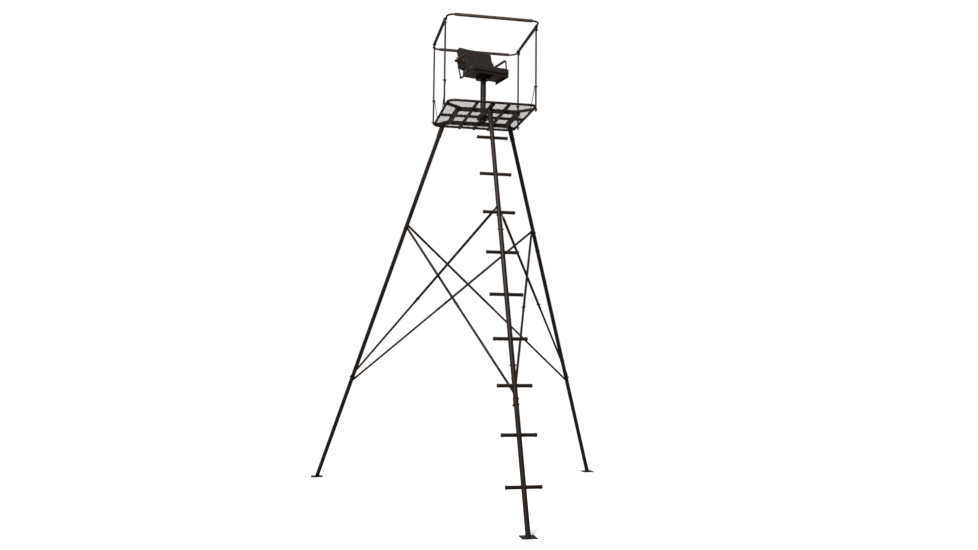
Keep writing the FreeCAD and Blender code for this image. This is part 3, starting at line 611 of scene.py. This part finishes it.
# pulls points onto a piece's skin
def snapTo(piece, points, lift):
    tree = BVHTree.FromObject(piece, bpy.context.evaluated_depsgraph_get())
    snapped = []
    for point in points:
        place, normal = tree.find_nearest(point)[:2]
        snapped.append(place + normal * lift)
    return snapped


weldLook = {
    "bead": 0.0026, "ripple": 0.0007,
    "leg": 0.02225,         # radius of the leg tube
    "post": 0.030,          # radius of the seat post
    "plateTop": 0.006,
    "turns": 40,            # points round a weld
}


# a closed weld bead, its run rippled like stacked coins
def weldBead(name, points, centre):
    look = weldLook
    count = len(points)
    rippled = []
    for k, point in enumerate(points):
        out = (point - centre).normalized()
        wave = math.sin(k * math.tau * 3 / 8) + 0.6 * noise.noise(point * 90)
        rippled.append(point + out * look["ripple"] * wave)
    tubeLoop(name, rippled, look["bead"], coat, "frame")


# welds: each rung where it leaves the ladder leg, each leg on its foot plate, the seat post on its hub
def buildWelds():
    look = weldLook
    rungs = rungCentres()
    legLine = (rungs[-1] - rungs[0]).normalized()
    facing = legLine.cross(across)
    rungR = rungCapLook["rung"]
    angles = [math.tau * k / look["turns"] for k in range(look["turns"])]
    for index, centre in enumerate(rungs):
        for side, label in ((-1, "Left"), (1, "Right")):
            saddle = []
            for angle in angles:
                off = rungR * math.cos(angle)
                reach = math.sqrt(look["leg"] ** 2 - off ** 2)
                along = legLine * (rungR * math.sin(angle))
                saddle.append(centre + facing * off + along + across * side * reach)
            inside = centre + across * side * look["leg"] * 0.8
            weldBead("rungWeld%s%d" % (label, index + 1), saddle, inside)
    for leg in ("front", "left", "right"):
        low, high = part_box("foot_plate_" + leg)
        base = (low + high) / 2
        base.z = 0
        legLow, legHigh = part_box(leg + "_leg_lower")
        top = Vector((0, 0, legHigh.z))
        for axis in (0, 1):     # a leg's top end is at the far side of its box from its foot
            near = abs(legLow[axis] - base[axis]) < abs(legHigh[axis] - base[axis])
            top[axis] = legHigh[axis] - look["leg"] if near else legLow[axis] + look["leg"]
        if leg == "front":
            top.x = 0
        lean = (top - base).normalized()
        sideways = lean.cross(up).normalized()
        upward = sideways.cross(lean)
        ellipse = []
        for angle in angles:
            ring = (sideways * math.cos(angle) + upward * math.sin(angle)) * look["leg"]
            along = (look["plateTop"] - ring.z) / lean.z
            ellipse.append(base + ring + lean * along)
        weldBead(leg + "FootWeld", ellipse, base + up * look["plateTop"])
    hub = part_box("deck_hub")[1]
    postFoot = Vector((swivel.x, swivel.y, hub.z))
    circle = [postFoot + Vector((math.cos(a), math.sin(a), 0)) * look["post"] for a in angles]
    weldBead("postWeld", circle, postFoot)


# the seat's own frame: X to its right, -Y forward, at the height of the ground
swivel = Vector(joints["seat_swivel"]["pos_m"])
seatFrame = Matrix.Translation((swivel.x, swivel.y, 0)) @ Matrix.Rotation(seatTurn, 4, "Z")
hinge = Vector(joints["backrest_fold"]["pos_m"])
backFrame = Matrix.Translation(hinge) @ Matrix.Rotation(seatTurn, 4, "Z")
backFrame = backFrame @ Matrix.Rotation(-backLean, 4, "X")

seatPad = {
    "half": 0.216, "rear": 0.086, "front": -0.190, "low": 4.3965, "high": 4.462,
    "corner": 0.030, "edge": 0.018, "piping": 0.0032,
    "topWelt": 0.012, "lowWelt": 0.010,         # how far the seams are from the faces
}
# measured from the hinge, along the leaning back
backPad = {
    "lowHalf": 0.209, "highHalf": 0.200, "low": 0.112, "high": 0.396, "rear": 0.014, "front": -0.036,
    "corner": 0.045, "edge": 0.016, "piping": 0.0030,
    "frontWelt": 0.011, "rearWelt": 0.010,
}
weltLift = 0.35     # how far the piping's middle stands off the cloth, as a share of its radius


# a pad: a rounded block in its own frame, blown up, then flat again on the side that it rests on;
# rest is that side's axis, its limit, and which way the pad lies from it
def makePad(name, block, matrix, finish, body, node, rest):
    bmesh.ops.transform(block, matrix=matrix, verts=block.verts)
    piece = makePiece(name, block, finish, body, replaces=(node,))
    inflate(piece, clothLook["cap"])
    smoothing = piece.modifiers.new("relax", "SMOOTH")
    smoothing.factor = 0.5
    smoothing.iterations = clothLook["smooth"]
    applyModifiers(piece)
    axis, limit, sign = rest
    away = matrix.inverted()
    for v in piece.data.vertices:
        local = away @ v.co
        if (local[axis] - limit) * sign < 0:
            local[axis] = limit
            v.co = matrix @ local
    finer = piece.modifiers.new("finer", "SUBSURF")
    finer.levels = 1
    finer.render_levels = 1
    for face in piece.data.polygons:
        face.use_smooth = True
    return piece


# a block between two corners, narrowed towards its top
def padBlock(low, high, taper=1.0):
    bm = bmesh.new()
    middle = (low + high) / 2
    place = Matrix.Translation(middle) @ Matrix.Diagonal((*(high - low), 1))
    bmesh.ops.create_cube(bm, size=1.0, matrix=place)
    for v in bm.verts:
        if v.co.z > middle.z:
            v.co.x *= taper
    return bm


def bevelEdges(bm, edges, radius, segments):
    bmesh.ops.bevel(bm, geom=edges, offset=radius, segments=segments, affect="EDGES", profile=0.5,
                    material=-1)


def buildSeatPad():
    look = seatPad
    spread = clothLook["spread"]
    low = Vector((-look["half"] - spread, look["front"] - spread, look["low"]))
    high = Vector((look["half"] + spread, look["rear"] + spread * 0.5, look["high"] - clothLook["thin"]))
    bm = padBlock(low, high)
    uprights = [e for e in bm.edges if abs((e.verts[0].co - e.verts[1].co).normalized().z) > 0.9]
    bevelEdges(bm, uprights, look["corner"], 6)
    rims = [e for e in bm.edges if len(e.link_faces) == 2 and e.calc_face_angle() > 1.2]
    bevelEdges(bm, rims, look["edge"], 5)
    pad = makePad("seatCushion", bm, seatFrame, seatCloth, "seat", "seat_cushion", (2, look["low"], 1))
    centreY = (look["front"] + look["rear"]) / 2
    halfY = (look["rear"] - look["front"]) / 2
    outline = roundedOutline(look["half"] - 0.003, halfY - 0.003, look["corner"])
    for name, height in (("seatTopWelt", look["high"] - look["topWelt"]),
                         ("seatLowWelt", look["low"] + look["lowWelt"])):
        points = [seatFrame @ (p + Vector((0, centreY, height))) for p in outline]
        welt = snapTo(pad, points, look["piping"] * weltLift)
        tubeLoop(name, welt, look["piping"], seatCloth, "seat")


def buildBackPad():
    look = backPad
    spread = clothLook["spread"]
    low = Vector((-look["lowHalf"] - spread, look["front"] + clothLook["thin"], look["low"] - spread))
    high = Vector((look["lowHalf"] + spread, look["rear"], look["high"] + spread))
    bm = padBlock(low, high, look["highHalf"] / look["lowHalf"])
    through = [e for e in bm.edges if abs((e.verts[0].co - e.verts[1].co).normalized().y) > 0.9]
    bevelEdges(bm, through, look["corner"], 7)
    rims = [e for e in bm.edges if len(e.link_faces) == 2 and e.calc_face_angle() > 1.2]
    bevelEdges(bm, rims, look["edge"], 5)
    pad = makePad("backCushion", bm, backFrame, backCloth, "backrest", "back_cushion",
                  (1, look["rear"], -1))
    middle = (look["low"] + look["high"]) / 2
    half = (look["high"] - look["low"]) / 2
    outline = roundedOutline(look["lowHalf"], half, look["corner"])
    for name, depth in (("backFrontWelt", look["front"] + look["frontWelt"]),
                        ("backRearWelt", look["rear"] - look["rearWelt"])):
        points = []
        for p in outline:
            narrow = 1 + (look["highHalf"] / look["lowHalf"] - 1) * (p.y + half) / (2 * half)
            points.append(backFrame @ Vector((p.x * narrow, depth, middle + p.y)))
        welt = snapTo(pad, points, look["piping"] * weltLift)
        tubeLoop(name, welt, look["piping"], backCloth, "backrest")


buildWelds()
print("welds made")
buildSeatPad()
print("seat cushion made")
buildBackPad()
print("back cushion made")

studio = {
    "eye": (-1.770, -8.142, 1.529), "yaw": -0.1893, "pitch": 0.0849, "roll": 0.0112,
    "lens": 30.26, "shift": 0.0226,
    "worldLight": 0.5, "floorColour": "#fbfaf8", "floorRadius": 120.0,
    "floorBounce": "#a89e95",       # the floor throws less light upwards than it shows
    "sun": 2.6, "sunAngle": 28, "sunFrom": (-0.55, -0.62, 0.9),
    "softbox": ((-2.0, -3.2, 5.6), 300, 1.2),       # place, power and size
    "softboxAim": (0, 0, 4.0),
}


def addCamera():
    look = studio
    sy, cy = math.sin(look["yaw"]), math.cos(look["yaw"])
    sp, cp = math.sin(look["pitch"]), math.cos(look["pitch"])
    ahead = Vector((-sy * cp, cy * cp, sp))
    right = Vector((cy, sy, 0))
    top = right.cross(ahead)
    cr, sr = math.cos(look["roll"]), math.sin(look["roll"])
    turnedRight = right * cr + top * sr
    turnedTop = top * cr - right * sr
    matrix = Matrix((turnedRight, turnedTop, -ahead)).transposed().to_4x4()
    data = bpy.data.cameras.new("eyeLevel")
    data.lens = look["lens"]
    data.sensor_width = 36
    data.shift_x = look["shift"]
    data.clip_end = 300
    camera = bpy.data.objects.new("eyeLevel", data)
    camera.matrix_world = Matrix.Translation(look["eye"]) @ matrix
    bpy.context.scene.collection.objects.link(camera)
    bpy.context.scene.camera = camera


def addSoftbox(name, place, power, size):
    data = bpy.data.lights.new(name, "AREA")
    data.energy = power
    data.shape = "DISK"
    data.size = size
    light = bpy.data.objects.new(name, data)
    light.matrix_world = aim(Vector(place), Vector(place) - Vector(studio["softboxAim"]))
    bpy.context.scene.collection.objects.link(light)


def addStudio():
    look = studio
    world = bpy.data.worlds.new("paleStudio")
    world.use_nodes = True
    tree = world.node_tree
    tree.nodes.clear()
    seen = addNode(tree, "LightPath").outputs["Is Camera Ray"]
    strength = addNode(tree, "MapRange", {"Value": seen, "To Min": look["worldLight"], "To Max": 1.0})
    sky = addNode(tree, "Background", {"Color": white, "Strength": strength.outputs[0]})
    addNode(tree, "OutputWorld", {"Surface": sky.outputs[0]})
    bpy.context.scene.world = world
    bpy.context.scene.view_settings.view_transform = "Standard"
    sunData = bpy.data.lights.new("highWindow", "SUN")
    sunData.energy = look["sun"]
    sunData.angle = math.radians(look["sunAngle"])
    sun = bpy.data.objects.new("highWindow", sunData)
    sun.matrix_world = aim(Vector((0, 0, 8)), Vector(look["sunFrom"]).normalized())
    bpy.context.scene.collection.objects.link(sun)
    addSoftbox("frontSoftbox", *look["softbox"])
    bm = bmesh.new()
    bmesh.ops.create_circle(bm, cap_ends=True, segments=64, radius=look["floorRadius"])
    mesh = bpy.data.meshes.new("floor")
    bm.to_mesh(mesh)
    bm.free()
    floor = bpy.data.objects.new("floor", mesh)
    bpy.context.scene.collection.objects.link(floor)
    material, tree, place = newMaterial("paleFloor")
    direct = addNode(tree, "LightPath").outputs["Is Camera Ray"]
    colour = mixColour(tree, direct, linear(look["floorBounce"]), linear(look["floorColour"]))
    shader = addNode(tree, "BsdfPrincipled", {"Base Color": colour, "Roughness": 0.9,
                                              "Specular IOR Level": 0.1})
    finishMaterial(tree, shader)
    mesh.materials.append(material)


addCamera()
addStudio()
print("studio set")
